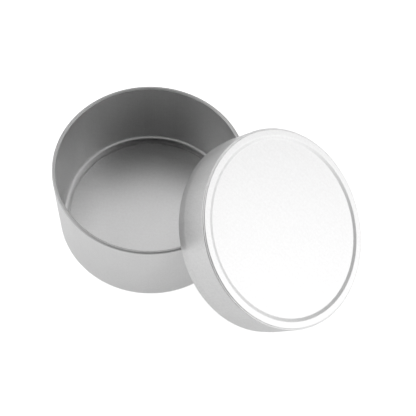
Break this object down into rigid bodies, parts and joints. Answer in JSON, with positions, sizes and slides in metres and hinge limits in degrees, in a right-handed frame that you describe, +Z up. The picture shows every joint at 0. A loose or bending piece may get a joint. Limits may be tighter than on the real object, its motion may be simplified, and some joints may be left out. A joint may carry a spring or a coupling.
{
  "type": "candle tin",
  "caption": "Round straight-sided metal tin for container candles, with a rolled rim and an open top, and its shallow slip lid taken off and leaned on the rim.",
  "frame": {"origin": "on the table under the middle of the bounding box of the tin and the lid that leans on it", "axes": "+Z up; +X to the right, from the tin towards the lid, along the longest extent; +Y away from the viewer"},
  "size_m": [0.1296, 0.1002, 0.0609],
  "materials": {
    "tin_metal": "fine satin, silver",
    "lid_metal": "fine satin, silver"
  },
  "bodies": {
    "tin": {"tin_body": "tin_metal"},
    "lid": {"lid": "lid_metal"}
  },
  "joints": [
    {"name": "lid_lift", "type": "slide", "parent": "tin", "child": "lid", "axis": [0, 0, 1], "range_m": [0, 0.06]}
  ]
}
